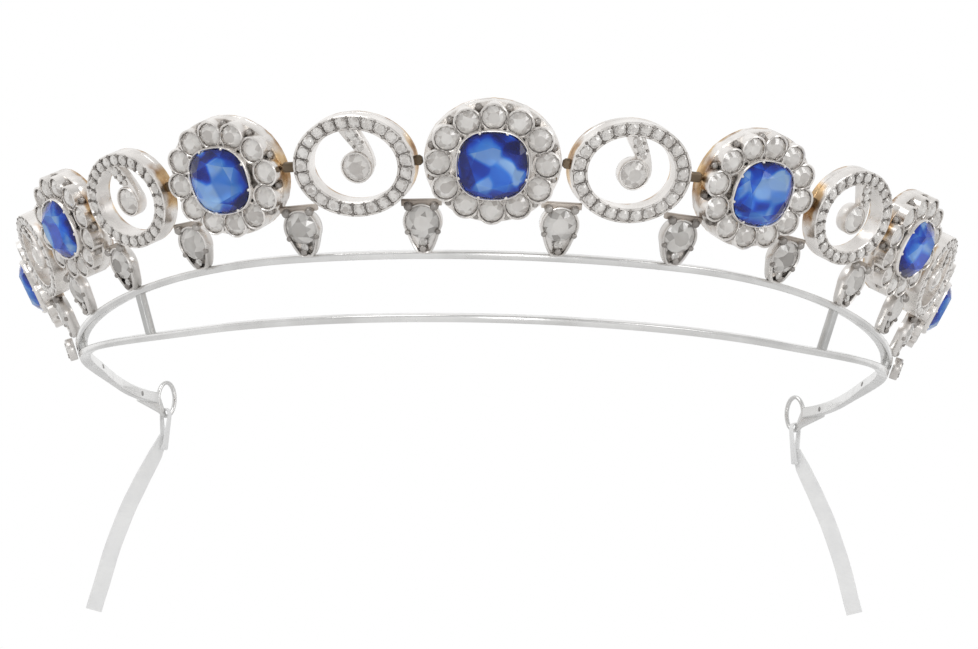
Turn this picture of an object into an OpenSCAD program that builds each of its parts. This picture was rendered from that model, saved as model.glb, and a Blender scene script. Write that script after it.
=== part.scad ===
// Diadem of seven sapphire and diamond clusters with scroll links between them,
// carried in front of a white metal band of two rails with ribbon ties at its ends.
// The origin is the middle of the lower rail's oval; the centre cluster faces -Y.

/* [Band] */
// Width of the band from side to side, between the lower rail's centre lines
band_width = 126; // [116:1:136]
// Depth of the whole oval whose front half the band follows
band_depth = 140; // [130:1:152]
// Slanted distance between the centre lines of the two rails
rail_spacing = 8.6; // [8:0.1:9.2]
// Outward lean of the band from upright
band_lean = 20; // [16:1:24]
// Height of each rail's section
rail_h = 1.1; // [0.9:0.1:1.3]
// Thickness of each rail from inside to outside
rail_t = 1.8; // [1.5:0.1:2]
// Angle round the band where the upper rail begins to fall
fall_start = 24; // [20:1:30]
// Angle round the band where the lower rail begins to rise
rise_start = 40; // [36:1:46]
// Angle round the band where the rails have run together
close_end = 93; // [90:1:96]
// Height up the band where the rails run together
close_height = 3.4; // [2.8:0.1:4]
// Angle round the band of the strut between the rails
strut_angle = 50; // [46:1:54]
// Angle round the band of the short strut near each end
end_strut_angle = 78; // [75:1:80]
// Width of a strut along the band
strut_w = 1.35; // [1:0.05:1.8]
// Thickness of a strut from inside to outside
strut_t = 1.2; // [0.8:0.1:1.5]

/* [Side arms] */
// Length of the arm from the end of the rails to the eyelet
arm_length = 43; // [38:1:50]
// Height of the arm's strip
arm_h = 2; // [1.7:0.1:2.4]
// Thickness of the arm's strip at the eyelet
arm_t = 1.1; // [0.9:0.1:1.4]
// Angle that the arm turns inwards over its length
arm_turn = 28; // [20:1:34]
// Further angle that the eyelet is turned inwards
eyelet_turn = 20; // [8:1:26]
// Height of the oval eyelet
eyelet_h = 6.8; // [6.2:0.1:7.4]
// Width of the oval eyelet along the arm
eyelet_w = 4.2; // [3.9:0.1:4.8]
// Length of the web that braces the eyelet, from the eyelet's middle
web_length = 6; // [5:0.1:7]
// Width of the eyelet's wire in its own plane
eyelet_wire = 0.7; // [0.6:0.05:0.8]
// Thickness of the eyelet across its plane
eyelet_t = 0.9; // [0.8:0.1:1]

/* [Ribbon ties] */
// Width of the ribbon where it hangs flat
ribbon_w = 2.9; // [2.5:0.1:3.4]
// Thickness of one layer of ribbon
ribbon_t = 0.6; // [0.5:0.05:0.7]
// Length of the gathered fold that holds the eyelet
fold_length = 6; // [5:0.1:7]
// Width of the ribbon where it is gathered in the fold
fold_w = 1.3; // [1:0.1:1.5]
// Clearance between the fold and the eyelet's wire
fold_clear = 0.35; // [0.3:0.05:0.45]

/* [Jewelled line] */
// Height of the jewels' centre line above the upper rail, along their face
jewel_rise = 13.3; // [13:0.1:14]
// Fall of the jewels' centre line at the side of the head
line_fall = 6; // [5:0.1:6.6]
// Outward lean of the jewels' faces from upright
jewel_lean = 28; // [24:1:32]
// Distance of the jewels' girdle plane in front of the rails' centre
jewel_out = 2.5; // [2.4:0.1:3]
// Gap between one jewel and the next along the line
link_gap = 1.7; // [1.5:0.1:2.1]
// Distance that the first scroll link sits nearer to the centre cluster than that
link_shift = 0.6; // [0:0.1:0.7]
// Clearance between a jewel and the piece that meets it
piece_clear = 0.2; // [0.15:0.01:0.3]

/* [Clusters] */
// Width of the centre cluster
cluster_w = 18.2; // [17.4:0.1:19]
// Height of the centre cluster
cluster_h = 16.5; // [16.2:0.1:17.4]
// Number of small stones round a cluster
surround_count = 12; // [9:1:12]
// Diameter of a small stone in the centre cluster
surround_d = 3.1; // [2.8:0.05:3.15]
// Width of the centre sapphire
sapphire_w = 9.2; // [8.6:0.1:9.4]
// Height of the centre sapphire
sapphire_h = 8.9; // [8.4:0.1:9.1]
// Depth of a cluster behind its stones' girdle plane
mount_back = 2.9; // [2.6:0.1:3.1]
// Thickness of the plate that the collets stand on
plate_t = 1.9; // [1.6:0.1:2.2]
// Wall of a collet round its stone
collet_wall = 0.3; // [0.25:0.01:0.4]
// Clearance of a stone in its collet
stone_clear = 0.08; // [0.06:0.01:0.12]

/* [Scroll links] */
// Width of the first scroll link
scroll_w = 16.8; // [16.2:0.1:17.6]
// Height of the first scroll link
scroll_h = 13.9; // [13.6:0.1:14.6]
// Width of the opening in the scroll link
opening_w = 12.2; // [11.4:0.1:12.6]
// Height of the opening in the scroll link
opening_h = 9.9; // [9.4:0.1:10.1]
// Depth of a scroll link behind its stones' girdle plane
scroll_back = 2.2; // [1.8:0.1:2.5]
// Number of stones round the rim
rim_count = 23; // [18:1:23]
// Diameter of a rim stone
rim_stone_d = 1.45; // [1.25:0.05:1.5]
// Diameter of the stone held in the middle of the scroll
eye_stone_d = 3.6; // [3.2:0.1:3.8]
// Width of the scroll where it leaves the rim
scroll_band = 2.4; // [2:0.1:2.6]
// Depth of the scroll behind its stones' girdle plane
hook_back = 1.2; // [1:0.1:1.5]
// Depth of the collet in the middle of the scroll behind that plane
eye_back = 1.6; // [1.5:0.1:1.8]
// Radius of the joint that closes the gap between a scroll link and a cluster
knuckle_r = 0.45; // [0.35:0.01:0.55]
// Height of that joint
knuckle_h = 1.4; // [1:0.1:2]

/* [Drops] */
// Diameter of the stone in each drop
drop_stone_d = 4.5; // [4.1:0.1:4.7]
// Distance of a drop's centre below the jewels' centre line
drop_below = 8.3; // [8.1:0.1:8.7]
// Distance that the drops sit back from the jewels' girdle plane
drop_in = 1; // [0.7:0.1:1.3]
// Diameter of the stone in the small end drop
end_stone_d = 2.8; // [2.4:0.1:3]
// Height of the bar across the top of a drop
bar_h = 0.9; // [0.7:0.1:1.1]
// Width of the foot that seats a drop on the upper rail
foot_w = 1.4; // [1.1:0.1:1.8]
// Angle round the band of the small drop on the end of the rail
end_drop_angle = 82; // [79:1:84]

/* [Hidden] */
// One row for each jewel from the centre to the side: its kind, and its size
// as a share of the first of that kind
KIND = 0;
SHARE = 1;
UNITS = [["cluster", 1], ["scroll", 1], ["cluster", 1], ["scroll", 1],
         ["cluster", 0.97], ["scroll", 0.96], ["cluster", 0.92]];
UNIT_COUNT = len(UNITS);
PAIRS = [1:3];
JUNCTIONS = [1:6];
SIDES = [["left", -1], ["right", 1]];
// The scroll's centre line as shares of the half opening, with its width as a
// share of scroll_band, from the top of the rim round the eye to its tail
SCROLL = [[-0.08, 1.08, 1], [-0.02, 0.96, 0.97], [0.04, 0.84, 0.94], [0.1, 0.72, 0.9], [0.16, 0.6, 0.86],
          [0.22, 0.47, 0.8], [0.29, 0.33, 0.68], [0.35, 0.19, 0.53], [0.39, 0.05, 0.38], [0.4, -0.09, 0.24]];
// The left tie's route from the lower end of its fold: outward, backward and upward.
// The right tie is shorter, and ends at the last point but one.
RIBBON_ROUTE = [[0.3, 0, 2.4], [0.7, 0, 1.2], [1.2, -0.1, -0.2], [1.9, -0.2, -1.8], [2.7, -0.3, -3.5],
                [3.6, -0.4, -5.4], [4.5, -0.6, -7.5], [5.5, -0.8, -9.8], [6.4, -1, -12.2],
                [7.2, -1.2, -14.6], [8, -1.4, -17.1], [8.7, -1.5, -19.6], [9.3, -1.6, -22.1],
                [9.9, -1.7, -24.6], [10.5, -1.8, -26.9], [11.1, -1.8, -29.3]];

overlap = 0.01;
end_drop = 7;
half_w = band_width / 2;
half_d = band_depth / 2;
jewel_line = rail_spacing + jewel_rise;
collet_rim = 0.35;
centre_rim = 0.8;
sapphire_lift = 1;
rim_front = 0.3;
EYE_AT = [0.4, -0.2, 0];
hook_front = 0.1;
rim_stone_lift = 0.2;
knuckle_z = 1.2;
drop_back = 1.25;
end_back = 0.95;
seat_open = 0.6;
polygon_fit = 1 / cos(15);
rail_step = 3;
end_edge = 0.05;
rail_bow = 0.05;
arm_steps = 14;

// A point of the band's oval at an angle from the front, and the way it faces
function oval(t) = [half_w * sin(t), -half_d * cos(t)];
function facing(t) = let (n = [half_d * sin(t), -half_w * cos(t)]) n / norm(n);
function smooth(x) = let (c = min(max(x, 0), 1)) c * c * (3 - 2 * c);
function closing(t, start) = smooth((abs(t) - start) / (close_end - start));
// Heights up the band of the two rails at an angle
function upper_v(t) = rail_spacing
    + (close_height + (arm_h - rail_h) / 2 - rail_spacing) * closing(t, fall_start);
function lower_v(t) = (close_height - (arm_h - rail_h) / 2) * closing(t, rise_start);

// A point v up the leaning band, n out from its centre surface
function band_spot(t, v, n) = let (p = oval(t), d = facing(t),
    r = v * sin(band_lean) + n * cos(band_lean))
    [p[0] + d[0] * r, p[1] + d[1] * r, v * cos(band_lean) - n * sin(band_lean)];
// A frame on the band: origin, along, up and outward
function band_frame(t, v) = let (d = facing(t), s = sin(band_lean), c = cos(band_lean))
    [band_spot(t, v, 0), [-d[1], d[0], 0], [s * d[0], s * d[1], c], [c * d[0], c * d[1], -s]];

// A frame on the upper rail's centre line, turned along its slope
function rail_frame(t) = let (f = band_frame(t, upper_v(t)),
    d = band_spot(t + 1, upper_v(t + 1), 0) - band_spot(t - 1, upper_v(t - 1), 0), along = d / norm(d))
    [f[0], along, cross(f[3], along), f[3]];

// The jewels' surface leans further out than the band, above the upper rail
function jewel_r(v, n) = rail_spacing * sin(band_lean)
    + (v - rail_spacing) * sin(jewel_lean) + n * cos(jewel_lean);
function jewel_z(v, n) = rail_spacing * cos(band_lean)
    + (v - rail_spacing) * cos(jewel_lean) - n * sin(jewel_lean);
function jewel_spot(t, v) = let (p = oval(t), d = facing(t), r = jewel_r(v, jewel_out))
    [p[0] + d[0] * r, p[1] + d[1] * r, jewel_z(v, jewel_out)];
function line_v(t) = jewel_line - line_fall * pow(t / 90, 2);
// Length along the jewels' centre line against the angle round the band
ARC_STEP = 2;
ARC = [for (t = 0, s = 0; t <= 110;
            s = s + norm(jewel_spot(t + ARC_STEP, line_v(t + ARC_STEP)) - jewel_spot(t, line_v(t))),
            t = t + ARC_STEP) [s, t]];
function angle_at(s) = lookup(s, ARC);
// A frame on the jewels' line, s along it from the centre and a way below it
function jewel_frame(side, s, below) = let (
    t = angle_at(s), d = facing(side * t), along = [-d[1], d[0], 0],
    up = [sin(jewel_lean) * d[0], sin(jewel_lean) * d[1], cos(jewel_lean)],
    out = [cos(jewel_lean) * d[0], cos(jewel_lean) * d[1], -sin(jewel_lean)],
    fall = side * atan((line_v(angle_at(s)) - line_v(angle_at(s + 1)))),
    u = along * sin(fall) + up * cos(fall))
    [jewel_spot(side * t, line_v(t)) - u * below, along * cos(fall) - up * sin(fall), u, out];
function to_world(f, p) = f[0] + f[1] * p[0] + f[2] * p[1] + f[3] * p[2];
function to_local(f, p) = let (q = p - f[0]) [q * f[1], q * f[2], q * f[3]];

// Sizes and places of the jewels along the line
function unit_w(i) = UNITS[i][SHARE] * (UNITS[i][KIND] == "cluster" ? cluster_w : scroll_w);
function unit_h(i) = UNITS[i][SHARE] * (UNITS[i][KIND] == "cluster" ? cluster_h : scroll_h);
UNIT_S = [for (i = 0, s = 0; i < UNIT_COUNT;
               s = s + unit_w(i) / 2 + link_gap + unit_w(min(i + 1, UNIT_COUNT - 1)) / 2,
               i = i + 1) i == 1 ? s - link_shift : s];
// Each junction lies half a gap from the edge of the cluster next to it
function junction_s(j) = let (inward = UNITS[j - 1][KIND] == "cluster", i = inward ? j - 1 : j)
    UNIT_S[i] + (inward ? 1 : -1) * (unit_w(i) + link_gap) / 2;
function unit_frame(side, i) = jewel_frame(side, UNIT_S[i], 0);
// Half width of a jewel's oval outline at a height from its middle
function half_at(i, y) = unit_w(i) / 2 * sqrt(max(0, 1 - pow(2 * y / unit_h(i), 2)));
// Outline point of jewel i on its side towards dir, seen in frame f
function edge_in(f, side, i, dir, y, z) =
    to_local(f, to_world(unit_frame(side, i), [dir * (half_at(i, y) + piece_clear), y, z]));

// Closed outlines in the plane
function oval_points(w, h, count, bulge = 2) = [for (k = [0:count - 1])
    let (a = 360 * k / count, c = cos(a), s = sin(a))
    [w / 2 * sign(c) * pow(abs(c), 2 / bulge), h / 2 * sign(s) * pow(abs(s), 2 / bulge)]];
// Stones are spread evenly along an oval by leading each angle towards its flatter sides
function even_angle(a, w, h) = a + (w * w - h * h) / (w * w + h * h) * sin(2 * a) * 45 / PI;
function on_oval(k, count, w, h) = let (a = even_angle(90 + 360 * k / count, w, h))
    [w / 2 * cos(a), h / 2 * sin(a)];
// A drop's outline: big arc above, small arc below, joined by straight sides
function tear_points(big, small, length) = let (a = asin((big - small) / length)) concat(
    [for (k = [0:10]) let (g = -a + (180 + 2 * a) * k / 10) [big * cos(g), big * sin(g)]],
    [for (k = [0:4]) let (g = 180 + a + (180 - 2 * a) * k / 4)
        [small * cos(g), small * sin(g) - length]]);

module place(f) {
    multmatrix([[f[1][0], f[2][0], f[3][0], f[0][0]],
                [f[1][1], f[2][1], f[3][1], f[0][1]],
                [f[1][2], f[2][2], f[3][2], f[0][2]],
                [0, 0, 0, 1]]) children();
}

// A solid carried through a list of closed rings of points
module swept(rings) {
    n = len(rings[0]);
    m = len(rings);
    points = [for (r = rings, p = r) p];
    sides = [for (i = [0:m - 2], k = [0:n - 1]) let (a = i * n + k, b = i * n + (k + 1) % n)
        each [[a, b, b + n], [a, b + n, a + n]]];
    first = [for (k = [n - 1:-1:0]) k];
    last = [for (k = [0:n - 1]) (m - 1) * n + k];
    polyhedron(points, concat(sides, [first, last]));
}

module slab(low, high) {
    translate(low) cube(high - low);
}

// A cut stone: flat table, crown, girdle at z = 0 and pavilion to a point.
// outline holds the girdle; table is the table's share of it.
module cut_stone(outline, table, crown, pavilion) {
    n = len(outline);
    points = concat([for (p = outline) [p[0] * table, p[1] * table, crown]],
                    [for (p = outline) [p[0], p[1], 0]], [[0, 0, -pavilion]]);
    crown_faces = [for (k = [0:n - 1]) let (b = (k + 1) % n)
        each [[k, b, n + b], [k, n + b, n + k]]];
    pavilion_faces = [for (k = [0:n - 1]) [n + k, n + (k + 1) % n, 2 * n]];
    polyhedron(points, concat([[for (k = [n - 1:-1:0]) k]], crown_faces, pavilion_faces));
}

// Depth of a round stone below its girdle, short of the back of its mount
function culet(d, back) = min(d * 0.4, back - 0.1);
module round_stone(d, back) {
    cut_stone(oval_points(d, d, 8), 0.56, d * 0.17, culet(d, back));
}

module collet(stone_d, back, rim) {
    translate([0, 0, -back]) cylinder(h = back + rim, d = stone_d + 2 * (stone_clear + collet_wall), $fn = 32);
}

// The seat of a round stone: a pocket for it and a smaller opening behind
module seat(stone_d, back, rim) {
    pocket_d = (stone_d + 2 * stone_clear) * polygon_fit;
    pocket_depth = min(stone_d * 0.4, back - 0.4);
    translate([0, 0, -pocket_depth]) cylinder(h = pocket_depth + rim + overlap, d = pocket_d, $fn = 12);
    translate([0, 0, -back - overlap]) cylinder(h = back, d = pocket_d * seat_open, $fn = 12);
}

// The band's two rails, struts, arms and eyelets, soldered into one
function rail_ring(t, v) = [for (c = [[-1, -1], [1, -1], [1, 1], [-1, 1]])
    band_spot(t, v + c[1] * rail_h / 2, c[0] * rail_t / 2)];
module rail(upper) {
    steps = ceil(2 * close_end / rail_step);
    reach = close_end - rail_step / 2;
    swept([for (k = [0:steps]) let (t = -reach + 2 * reach * k / steps)
        rail_ring(t, upper ? upper_v(t) : lower_v(t))]);
}
module strut(t, side) {
    f = band_frame(side * t, lower_v(t));
    place(f) slab([-strut_w / 2, 0, -strut_t / 2], [strut_w / 2, upper_v(t) - lower_v(t), strut_t / 2]);
}

// The solid end where the rails run together, a little fuller than they are
function end_ring(side, t) = [for (c = [[-1, -1], [1, -1], [1, 1], [-1, 1]])
    let (v = c[1] < 0 ? lower_v(t) : upper_v(t))
    band_spot(side * t, v + c[1] * (rail_h / 2 + end_edge), c[0] * (rail_t / 2 + end_edge))];
// The arm carries on from the oval and turns inwards ever faster
function arm_heading(u) = atan2(facing(close_end)[0], -facing(close_end)[1]) + arm_turn * pow(u, 5);
ARM = [for (k = 0, p = oval(close_end) + facing(close_end) * close_height * sin(band_lean);
            k <= arm_steps;
            p = p + arm_length / arm_steps
                * [cos(arm_heading((k + 0.5) / arm_steps)), sin(arm_heading((k + 0.5) / arm_steps))],
            k = k + 1) p];
arm_z = close_height * cos(band_lean);
function arm_ring(side, k) = let (u = k / arm_steps, g = arm_heading(u), lean = band_lean * (1 - u),
    thick = rail_t + (arm_t - rail_t) * smooth(2 * u), across = [sin(g), -cos(g)])
    [for (c = [[-1, -1], [1, -1], [1, 1], [-1, 1]])
        let (n = c[0] * thick / 2, v = c[1] * arm_h / 2, r = v * sin(lean) + n * cos(lean),
             p = ARM[k] + across * r)
        [side * p[0], p[1], arm_z + v * cos(lean) - n * sin(lean)]];
module arm(side) {
    rings = concat([for (k = [0:3]) end_ring(side, close_end - (3 - k) * rail_step)],
                   [for (k = [1:arm_steps]) arm_ring(side, k)]);
    swept(side > 0 ? rings : [for (r = rings) [r[1], r[0], r[3], r[2]]]);
}
// The eyelet's frame: along the arm, up, and across
function eyelet_frame(side) = let (g = arm_heading(1) + eyelet_turn,
    along = [side * cos(g), sin(g), 0], end = ARM[arm_steps],
    middle = [side * end[0], end[1], arm_z] + along * eyelet_w / 2)
    [middle, along, [0, 0, 1], cross(along, [0, 0, 1])];
module eyelet(side) {
    web_h = arm_h * 0.46;
    place(eyelet_frame(side)) translate([0, 0, -eyelet_t / 2]) linear_extrude(eyelet_t)
        difference() {
            union() {
                polygon(oval_points(eyelet_w, eyelet_h, 32));
                polygon([[-web_length, -web_h], [0, -eyelet_h / 2 + eyelet_wire / 2],
                         [-eyelet_w / 2 + eyelet_wire / 2, web_h], [-web_length, web_h]]);
            }
            polygon(oval_points(eyelet_w - 2 * eyelet_wire, eyelet_h - 2 * eyelet_wire, 32));
        }
}
module frame() {
    color("gainsboro") union() {
        rail(true);
        rail(false);
        for (side = [-1, 1]) {
            strut(strut_angle, side);
            strut(end_strut_angle, side);
            arm(side);
            eyelet(side);
        }
    }
}

// A ribbon gathered in a fold through its eyelet, then hanging flat in two layers
module ribbon(side) {
    f = eyelet_frame(side);
    wire_y = -eyelet_h / 2 + eyelet_wire / 2;
    start = to_world(f, [0, wire_y, 0]);
    fold_r = norm([eyelet_wire, eyelet_t]) / 2 + fold_clear;
    count = len(RIBBON_ROUTE) - (side > 0 ? 1 : 0);
    route = [for (k = [0:count - 1]) let (p = RIBBON_ROUTE[k]) start + [side * p[0], p[1], p[2] - fold_length]];
    function way(k) = let (d = route[min(k + 1, count - 1)] - route[max(k - 1, 0)]) d / norm(d);
    function turn(k) = 50 * pow(1 - k / (count - 1), 2);
    color("gainsboro") union() {
        place([start, -f[3], [0, 0, 1], f[1]]) translate([0, 0, -fold_w / 2]) linear_extrude(fold_w)
            difference() {
                polygon(tear_points(fold_r + ribbon_t, ribbon_t, fold_length - ribbon_t));
                polygon(tear_points(fold_r, ribbon_t / 4, fold_length - 3 * ribbon_t));
            }
        swept([for (k = [0:count - 1])
            let (d = way(k), flat = [cos(turn(k)), -side * sin(turn(k)), 0],
                 across = cross(cross(d, flat), d), w = across / norm(across), n = cross(d, w))
            [for (q = oval_points(ribbon_w, 2 * ribbon_t, 8, 3)) route[k] - w * q[0] + n * q[1]]]);
    }
}

// A cluster's mount: an oval back plate with a ring of collets on it, whose rounds
// show as scallops in front of the plate, and a taller collet in the middle
function ring_w(i, stone_d) = unit_w(i) - stone_d - 2 * (stone_clear + collet_wall);
function ring_h(i, stone_d) = unit_h(i) - stone_d - 2 * (stone_clear + collet_wall);
module sapphire_outline(i, wall) {
    g = UNITS[i][SHARE];
    polygon(oval_points(sapphire_w * g + 2 * wall, sapphire_h * g + 2 * wall, 32, 2.5));
}
module cluster_mount(side, i) {
    d = surround_d * UNITS[i][SHARE];
    // Below the stones the middle hole narrows to a ledge under the sapphire
    ledge = -sapphire_w * 0.07;
    edge_back = 0.1;
    color("silver") place(unit_frame(side, i)) difference() {
        union() {
            translate([0, 0, -mount_back]) linear_extrude(plate_t)
                polygon(oval_points(unit_w(i) - edge_back, unit_h(i) - edge_back, 64));
            for (k = [0:surround_count - 1])
                translate(on_oval(k, surround_count, ring_w(i, d), ring_h(i, d)))
                    collet(d, mount_back, collet_rim);
            translate([0, 0, -mount_back]) linear_extrude(mount_back + centre_rim)
                sapphire_outline(i, stone_clear + collet_wall);
        }
        for (k = [0:surround_count - 1])
            translate(on_oval(k, surround_count, ring_w(i, d), ring_h(i, d)))
                seat(d, mount_back, collet_rim);
        translate([0, 0, -mount_back - overlap]) linear_extrude(mount_back + centre_rim)
            sapphire_outline(i, ledge);
        translate([0, 0, collet_rim]) linear_extrude(centre_rim)
            sapphire_outline(i, stone_clear);
    }
}
module surround_stones(side, i) {
    d = surround_d * UNITS[i][SHARE];
    color("white") place(unit_frame(side, i)) for (k = [0:surround_count - 1])
        translate(on_oval(k, surround_count, ring_w(i, d), ring_h(i, d))) round_stone(d, mount_back);
}
module sapphire(side, i) {
    g = UNITS[i][SHARE];
    color("royalblue") place(unit_frame(side, i)) translate([0, 0, sapphire_lift])
        cut_stone(oval_points(sapphire_w * g, sapphire_h * g, 16, 2.5), 0.66, 1.3 * g, 3.2 * g);
}

// A scroll link: an oval rim set with stones, a scroll that holds a collet, two knuckles
function mid_w(i) = (unit_w(i) + opening_w * UNITS[i][SHARE]) / 2;
function mid_h(i) = (unit_h(i) + opening_h * UNITS[i][SHARE]) / 2;
function scroll_side(i, dir) = let (n = len(SCROLL), g = UNITS[i][SHARE])
    [for (k = [0:n - 1]) let (
        p = [SCROLL[k][0] * opening_w, SCROLL[k][1] * opening_h] * g / 2,
        a = SCROLL[max(k - 1, 0)], b = SCROLL[min(k + 1, n - 1)],
        d = [(b[0] - a[0]) * opening_w, (b[1] - a[1]) * opening_h],
        across = [d[1], -d[0]] / norm(d))
        p + across * dir * scroll_band * g * SCROLL[k][2] / 2];
function reversed(list) = [for (k = [len(list) - 1:-1:0]) list[k]];
module knuckle(side, i, dir) {
    // The cluster that this joint closes on, and how near its edge comes
    next = dir * side > 0 ? i + 1 : i - 1;
    reach = dir * edge_in(unit_frame(side, i), side, next, -dir, 0, -knuckle_z)[0];
    x = reach - knuckle_r;
    inner = unit_w(i) / 2 - 2 * collet_wall;
    translate([dir * x, knuckle_h / 2, -knuckle_z]) rotate([90, 0, 0])
        cylinder(h = knuckle_h, r = knuckle_r, $fn = 24);
    slab([min(dir * inner, dir * x), -knuckle_h / 2, -knuckle_z - knuckle_r / 2],
         [max(dir * inner, dir * x), knuckle_h / 2, -knuckle_z + knuckle_r / 2]);
}
module scroll_mount(side, i) {
    g = UNITS[i][SHARE];
    color("silver") place(unit_frame(side, i)) difference() {
        union() {
            translate([0, 0, -scroll_back]) linear_extrude(scroll_back + rim_front) difference() {
                polygon(oval_points(unit_w(i), unit_h(i), 48));
                polygon(oval_points(opening_w * g, opening_h * g, 48));
            }
            translate([0, 0, -hook_back]) linear_extrude(hook_back + hook_front)
                polygon(concat(scroll_side(i, 1), reversed(scroll_side(i, -1))));
            translate(EYE_AT) collet(eye_stone_d * g, eye_back, collet_rim);
            for (dir = [-1, 1]) knuckle(side, i, dir);
        }
        translate(EYE_AT) seat(eye_stone_d * g, eye_back, collet_rim);
        for (k = [0:rim_count - 1]) translate(on_oval(k + 0.5, rim_count, mid_w(i), mid_h(i)))
            seat(rim_stone_d * g, scroll_back, rim_front);
    }
}
module scroll_stones(side, i) {
    g = UNITS[i][SHARE];
    color("white") place(unit_frame(side, i)) {
        translate(EYE_AT) round_stone(eye_stone_d * g, eye_back);
        for (k = [0:rim_count - 1]) translate(on_oval(k + 0.5, rim_count, mid_w(i), mid_h(i)))
            translate([0, 0, rim_stone_lift]) round_stone(rim_stone_d * g, scroll_back);
    }
}

// Drops stand on the upper rail under each junction, and a small one on its end
function drop_size(j) = j == end_drop ? end_stone_d : drop_stone_d;
function drop_depth(j) = j == end_drop ? end_back : drop_back;
function drop_r(j) = drop_size(j) / 2 + stone_clear + collet_wall;
function moved_out(f, n) = [f[0] + f[3] * n, f[1], f[2], f[3]];
function drop_frame(side, j) = j == end_drop
    ? moved_out(rail_frame(side * end_drop_angle), rail_t / 2 + piece_clear + end_back)
    : moved_out(jewel_frame(side, junction_s(j), drop_below), -drop_in);
module drop_foot(side, j) {
    // Place of the foot on the rail's top face, in the drop's own frame
    t = side * angle_at(junction_s(j));
    f = drop_frame(side, j);
    top = upper_v(t) + rail_h / 2;
    inner = to_local(f, band_spot(t, top, -rail_t / 4));
    outer = to_local(f, band_spot(t, top, rail_t / 2));
    base = max(inner[1], outer[1]) + piece_clear;
    foot_h = 0.7;
    foot_front = 0.1;
    slab([inner[0] - foot_w / 2, base + overlap, inner[2]],
         [inner[0] + foot_w / 2, base + foot_h, -drop_back / 2]);
    // Its sides run up into the collet in a full curve, as an acorn's do
    r = drop_r(j);
    shoulder = [0.86 * r, -0.48 * r];
    waist_w = 0.76 * r;
    waist = [inner[0] / 2, (base + shoulder[1]) / 2];
    translate([0, 0, -drop_back]) linear_extrude(drop_back - foot_front)
        polygon([[inner[0] - foot_w / 2, base], [inner[0] + foot_w / 2, base],
                 waist + [waist_w, 0], shoulder, [-shoulder[0], shoulder[1]], waist - [waist_w, 0]]);
}
module drop_bar(side, j) {
    // The bar reaches from one jewel's lower edge to the next one's
    f = drop_frame(side, j);
    y = drop_r(j);
    level = -drop_below + y + bar_h / 2;
    inner = edge_in(f, side, j - 1, side, level, -drop_in - bar_h / 2)[0];
    outer = edge_in(f, side, j, -side, level, -drop_in - bar_h / 2)[0];
    slab([min(inner, outer), y - bar_h / 2, -bar_h], [max(inner, outer), y + bar_h / 2, 0]);
}
// The upper rail near a drop with clearance round it, to keep the drop's back off it
module rail_room(side, j) {
    size = [2 * drop_r(j), rail_h / 2 + piece_clear + rail_bow, rail_t / 2 + piece_clear + rail_bow];
    place(rail_frame(side * angle_at(junction_s(j)))) slab(-size, size);
}
module drop_mount(side, j) {
    f = drop_frame(side, j);
    color("silver") difference() {
        place(f) difference() {
            union() {
                collet(drop_size(j), drop_depth(j), collet_rim);
                if (j != end_drop) {
                    drop_foot(side, j);
                    drop_bar(side, j);
                }
            }
            seat(drop_size(j), drop_depth(j), collet_rim);
        }
        if (j != end_drop) rail_room(side, j);
    }
}
module drop_stones(side) {
    color("white") for (j = [1:7])
        place(drop_frame(side, j)) round_stone(drop_size(j), drop_depth(j));
}

frame();
ribbon(-1);  // ribbon_left
ribbon(1);  // ribbon_right
cluster_mount(1, 0);  // cluster_centre
sapphire(1, 0);  // sapphire_centre
surround_stones(1, 0);  // surround_centre
for (s = SIDES) {
    for (i = PAIRS) {
        cluster_mount(s[1], 2 * i);
        sapphire(s[1], 2 * i);
        surround_stones(s[1], 2 * i);
        scroll_mount(s[1], 2 * i - 1);
        scroll_stones(s[1], 2 * i - 1);
    }
    for (j = [1:7])
        drop_mount(s[1], j);
    drop_stones(s[1]);
}
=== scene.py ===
import bpy
import bmesh
import numpy as np
from mathutils import Matrix


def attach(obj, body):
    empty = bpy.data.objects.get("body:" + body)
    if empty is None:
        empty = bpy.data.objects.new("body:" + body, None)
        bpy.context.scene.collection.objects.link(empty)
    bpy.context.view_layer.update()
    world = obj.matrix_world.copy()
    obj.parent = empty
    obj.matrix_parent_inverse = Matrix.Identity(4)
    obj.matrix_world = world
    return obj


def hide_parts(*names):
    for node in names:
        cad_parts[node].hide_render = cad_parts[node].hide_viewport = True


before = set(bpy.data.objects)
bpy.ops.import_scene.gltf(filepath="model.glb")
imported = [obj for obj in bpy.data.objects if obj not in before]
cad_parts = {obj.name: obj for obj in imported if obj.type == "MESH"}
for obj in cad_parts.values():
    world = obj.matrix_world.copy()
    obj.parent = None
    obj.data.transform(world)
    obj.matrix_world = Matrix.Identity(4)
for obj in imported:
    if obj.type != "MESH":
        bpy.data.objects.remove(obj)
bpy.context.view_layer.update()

# Camera
# The diadem is seen from straight in front and a little below, by a long lens
# 400 mm before the middle of its oval.
pitch, yaw, roll = 0.162, 0.009, 0.022
camera_at = [-0.0029, -0.4, -0.0548]
look = np.array([np.sin(yaw) * np.cos(pitch), np.cos(yaw) * np.cos(pitch), np.sin(pitch)])
right = np.array([np.cos(yaw), -np.sin(yaw), 0.0])
above = np.cross(right, look)
right, above = (right * np.cos(roll) + above * np.sin(roll),
                above * np.cos(roll) - right * np.sin(roll))
lens = bpy.data.cameras.new("camera")
lens.sensor_width = 36.0
lens.lens = 91.5
camera = bpy.data.objects.new("camera", lens)
stand = np.eye(4)
stand[:3] = np.stack([right, above, -look, camera_at], axis=1)
camera.matrix_world = Matrix(stand.tolist())
bpy.context.collection.objects.link(camera)
bpy.context.scene.camera = camera

# Ribbon ties
# A narrow pale satin ribbon hangs from each eyelet: gathered narrow, it goes round
# the lower wire in an open loop, and then falls outwards as one flat length.
SIDES = {"left": -1, "right": 1}
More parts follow.
